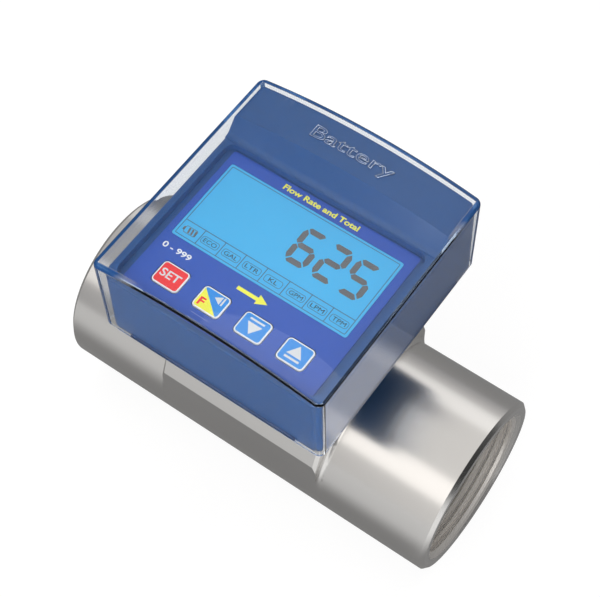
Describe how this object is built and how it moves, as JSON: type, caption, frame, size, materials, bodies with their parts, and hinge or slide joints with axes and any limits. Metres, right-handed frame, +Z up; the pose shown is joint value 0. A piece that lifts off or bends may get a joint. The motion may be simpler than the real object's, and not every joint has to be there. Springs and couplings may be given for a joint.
{
  "type": "paddle wheel flow meter",
  "caption": "In-line paddle wheel flow meter: threaded pipe body with a block carrying a swivelling square display case with keys under a clear crowned cover.",
  "frame": {"origin": "on the pipe axis, where the thread of the inlet begins, just inside the inlet face", "axes": "+X along the pipe in the direction of flow, to the outlet; +Y to the back of the display case, where the battery is; +Z up, from the pipe to the display"},
  "size_m": [0.165, 0.0944, 0.1426],
  "materials": {
    "stainless": "turned and satin ground",
    "screw_steel": "bright",
    "nylon_black": "matt",
    "seal_rubber": "matt",
    "wheel_plastic": "matt",
    "magnet": "bright",
    "bush": "bright",
    "case_blue": "satin",
    "base_blue": "satin",
    "clear": "clear, polished",
    "label_film": "printed film",
    "display": "display glass",
    "backlight": "light guide",
    "key_red": "satin",
    "key_yellow": "satin",
    "key_blue": "satin",
    "board_green": "solder mask",
    "switch_can": "matt",
    "tray_black": "matt",
    "cell_wrap": "wrapped",
    "contact": "plated"
  },
  "bodies": {
    "flow_body": {"meter_body": "stainless", "sensor_insert": "nylon_black", "insert_oring": "seal_rubber", "flange_screws": "screw_steel", "paddle_axle": "screw_steel", "axle_bushes": "bush", "neck_oring": "seal_rubber", "neck_clip": "screw_steel"},
    "rotor": {"paddle_wheel": "wheel_plastic", "rotor_magnets": "magnet"},
    "head": {"base_plate": "base_blue", "base_gasket": "seal_rubber", "base_screws": "screw_steel", "housing_shell": "case_blue", "battery_lid": "case_blue", "battery_tray": "tray_black", "battery_cell": "cell_wrap", "battery_contacts": "contact", "main_board": "board_green", "tact_switches": "switch_can", "board_screws": "screw_steel", "sensor_stem": "board_green", "lcd_backlight": "backlight", "lcd_glass": "display", "overlay_label": "label_film"},
    "set_key": {"key_set": "key_red"},
    "shift_key": {"key_shift": "key_yellow"},
    "down_key": {"key_down": "key_blue"},
    "up_key": {"key_up": "key_blue"},
    "cover": {"clear_cover": "clear"}
  },
  "joints": [
    {"name": "head_swivel", "type": "hinge", "parent": "flow_body", "child": "head", "pos_m": [0.0806, 0, 0.065], "axis": [0, 0, 1], "range_deg": [-165, 165]},
    {"name": "paddle_spin", "type": "hinge", "parent": "flow_body", "child": "rotor", "pos_m": [0.0806, 0, 0.012], "axis": [0, -1, 0], "continuous": true},
    {"name": "cover_lift", "type": "slide", "parent": "head", "child": "cover", "axis": [0, 0, 1], "range_m": [0, 0.045]},
    {"name": "set_press", "type": "slide", "parent": "head", "child": "set_key", "axis": [0, 0, -1], "range_m": [0, 0.0005], "stiffness_N_per_m": 500},
    {"name": "shift_press", "type": "slide", "parent": "head", "child": "shift_key", "axis": [0, 0, -1], "range_m": [0, 0.0005], "stiffness_N_per_m": 500},
    {"name": "down_press", "type": "slide", "parent": "head", "child": "down_key", "axis": [0, 0, -1], "range_m": [0, 0.0005], "stiffness_N_per_m": 500},
    {"name": "up_press", "type": "slide", "parent": "head", "child": "up_key", "axis": [0, 0, -1], "range_m": [0, 0.0005], "stiffness_N_per_m": 500}
  ]
}
